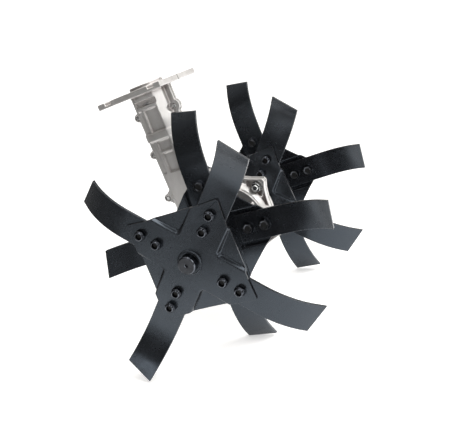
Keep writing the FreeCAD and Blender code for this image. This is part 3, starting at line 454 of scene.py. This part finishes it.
for half in ("housing_half_near", "housing_half_far"):
    cast_skin(half)
for name in NODES:
    if name.endswith("_plate"):
        softened(name, PLATE_RIM, PLATE_FOLD)
    elif "_blade_" in name:
        softened(name, BLADE_RIM)
    elif name.endswith(("_hub_tube", "_nuts")) or name == "axle":
        softened(name, TURNED_RIM)
    elif name.endswith("_rotor_bolts"):
        softened(name, ROTOR_BOLT_RIM, dished=True)
    elif name.endswith(("_bolts", "_washers")):
        softened(name, SMALL_RIM)
for end in ("near", "far"):
    for row in ("inner", "outer"):
        for side in (-1, 1):
            weld_bead(f"{end}_{row}_plate", f"{end}_hub_tube", side)
# Painted shade on the bolt ends sunk in the nuts; the axle's flat ends are darkened by 0.6 of the same colour.
mark_ends("near_rotor_bolts", "near_rotor_nuts", 1.0)
mark_ends("far_rotor_bolts", "far_rotor_nuts", 1.0)
mark_ends("axle", "axle", 0.6)


# ---------------------------------------------------------------- floor, light and camera

def lay_floor():
    """A pale floor that glows, with painted light that grows brighter towards the right."""
    bpy.ops.mesh.primitive_grid_add(x_subdivisions=8, y_subdivisions=8, size=600)
    floor = bpy.context.object
    floor.name = "floor"
    paint = Paint("pale_floor", (0.93, 0.93, 0.93), 0.0, 0.9)
    white = paint.blend(paint.noise(0.8, 2), (0.90, 0.90, 0.90), (0.93, 0.93, 0.93))
    paint.colour(white)
    paint.glow(white)
    # Painted light: the glow grows from left to right, as light falling from the right would.
    strength = paint.ranged(paint.along("X"), 0.05, 0.70, 0.46, 1.15)
    paint.link(strength, paint.shader.inputs["Emission Strength"])
    paint.shader.inputs["Specular IOR Level"].default_value = 0.1
    floor.data.materials.append(paint.material)


def soft_box(name, place, width, height, power, colour=(1, 1, 1)):
    """A rectangular light that faces the axle and is not seen itself."""
    lamp = bpy.data.lights.new(name, "AREA")
    lamp.shape = "RECTANGLE"
    lamp.size = width
    lamp.size_y = height
    lamp.energy = power
    lamp.color = colour
    holder = bpy.data.objects.new(name, lamp)
    bpy.context.scene.collection.objects.link(holder)
    holder.location = place
    holder.rotation_mode = "QUATERNION"
    holder.rotation_quaternion = (AXLE - Vector(place)).to_track_quat("-Z", "Y")
    holder.visible_camera = False


def hang_window():
    """Broad soft daylight from the right, behind and above."""
    sun = bpy.data.lights.new("window", "SUN")
    sun.energy = 0.9
    sun.angle = math.radians(40)
    window = bpy.data.objects.new("window", sun)
    bpy.context.scene.collection.objects.link(window)
    window.rotation_mode = "QUATERNION"
    window.rotation_quaternion = Vector((0.75, 0.45, 0.9)).to_track_quat("Z", "Y")


def stand_backdrop():
    """A pale wall all round, so that low views look past the floor onto the same tone."""
    bpy.ops.mesh.primitive_cylinder_add(vertices=96, radius=18, depth=36, end_fill_type="NOTHING")
    wall = bpy.context.object
    wall.name = "backdrop"
    pale = Paint("pale_backdrop", (0.9, 0.9, 0.9), 0.0, 1.0)
    tone = pale.blend(pale.noise(0.1, 1), (0.96, 0.96, 0.96), (0.99, 0.99, 0.99))
    pale.colour(tone)
    pale.glow(tone)
    pale.shader.inputs["Emission Strength"].default_value = 1.0
    wall.data.materials.append(pale.material)
    wall.visible_diffuse = False
    wall.visible_glossy = False
    wall.visible_shadow = False


def lay_dark_card(name, edge, turn, fade, depth):
    """A wide dark card by the floor, seen only in reflections, that paints shade into what the parts reflect; it
    fades in from its near edge.
    """
    half = 8.0
    height = 4 * MM
    bpy.ops.mesh.primitive_plane_add(size=2 * half)
    card = bpy.context.object
    card.name = name
    heading = Matrix.Rotation(math.radians(turn), 3, "Z") @ Vector((0, 1, 0))
    card.rotation_euler = (0, 0, math.radians(turn))
    card.location = Vector((*edge, height)) - heading * half
    dark = Paint(name, (0.02, 0.02, 0.02), 0.0, 1.0)
    dark.colour(dark.blend(dark.noise(1, 1), (0.02, 0.02, 0.02), (0.03, 0.03, 0.03)))
    shade = dark.ranged(dark.along("Y"), half - fade, half, depth, 0.0)
    dark.link(shade, dark.shader.inputs["Alpha"])
    card.data.materials.append(dark.material)
    card.visible_camera = False
    card.visible_diffuse = False
    card.visible_shadow = False


def dim_room():
    """A room that is bright behind the object and above it, less so at the right, dark in front."""
    world = bpy.data.worlds.new("studio")
    bpy.context.scene.world = world
    world.use_nodes = True
    tree = world.node_tree
    tree.nodes["Background"].inputs["Color"].default_value = (1.0, 0.97, 0.93, 1)
    toward = tree.nodes.new("ShaderNodeSeparateXYZ")
    tree.links.new(tree.nodes.new("ShaderNodeTexCoord").outputs["Generated"], toward.inputs[0])

    def lobe(axis, low, high, to_low, to_high):
        made = tree.nodes.new("ShaderNodeMapRange")
        made.interpolation_type = "SMOOTHSTEP"
        for socket, number in zip(RANGE_SOCKETS, (low, high, to_low, to_high)):
            made.inputs[socket].default_value = number
        tree.links.new(toward.outputs[axis], made.inputs["Value"])
        return made.outputs["Result"]

    def add(one, other):
        made = tree.nodes.new("ShaderNodeMath")
        tree.links.new(one, made.inputs[0])
        tree.links.new(other, made.inputs[1])
        return made.outputs[0]

    back = lobe("Y", -0.2, 0.8, 0.10, 0.9)
    right = lobe("X", 0.3, 0.9, 0.0, 0.35)
    above = lobe("Z", 0.45, 0.95, 0.0, 0.8)
    tree.links.new(add(add(back, right), above), tree.nodes["Background"].inputs["Strength"])


def place_camera():
    """Looks from the near right, a little above, tilted about its own axis."""
    azimuth = math.radians(22.0)
    elevation = math.radians(19.0)
    roll = math.radians(-5.0)
    offset = Vector((0.3433, -0.8911, 0.3366))
    level = Vector((math.cos(azimuth), math.sin(azimuth), 0))
    flat = math.cos(elevation)
    back = Vector((math.sin(azimuth) * flat, -math.cos(azimuth) * flat, math.sin(elevation)))
    upright = back.cross(level)
    right = level * math.cos(roll) + upright * math.sin(roll)
    up = back.cross(right)
    turn = Matrix((right, up, back)).transposed().to_4x4()
    lens = bpy.data.cameras.new("camera")
    lens.lens = 55.0
    lens.sensor_width = 36.0
    camera = bpy.data.objects.new("camera", lens)
    bpy.context.scene.collection.objects.link(camera)
    camera.matrix_world = Matrix.Translation(AXLE + offset) @ turn
    bpy.context.scene.camera = camera


lay_floor()
soft_box("top_box", (0.05, -0.05, 1.5), 0.7, 0.55, 6, (1.0, 0.99, 0.97))
soft_box("right_box", (1.0, -0.55, 0.95), 0.8, 0.7, 4.5, (1.0, 0.99, 0.97))
soft_box("front_box", (-0.07, -1.35, 0.83), 0.22, 0.18, 0.6)
hang_window()
stand_backdrop()
# Painted shade in reflections: these cards darken the floor that the parts reflect, in front and to the left.
lay_dark_card("front_shade_card", (-0.17, -0.41), -20, 0.12, 1.0)
lay_dark_card("left_shade_card", (-0.20, 0.3), -90, 0.3, 0.85)
dim_room()
place_camera()
bpy.context.scene.view_settings.view_transform = "Standard"
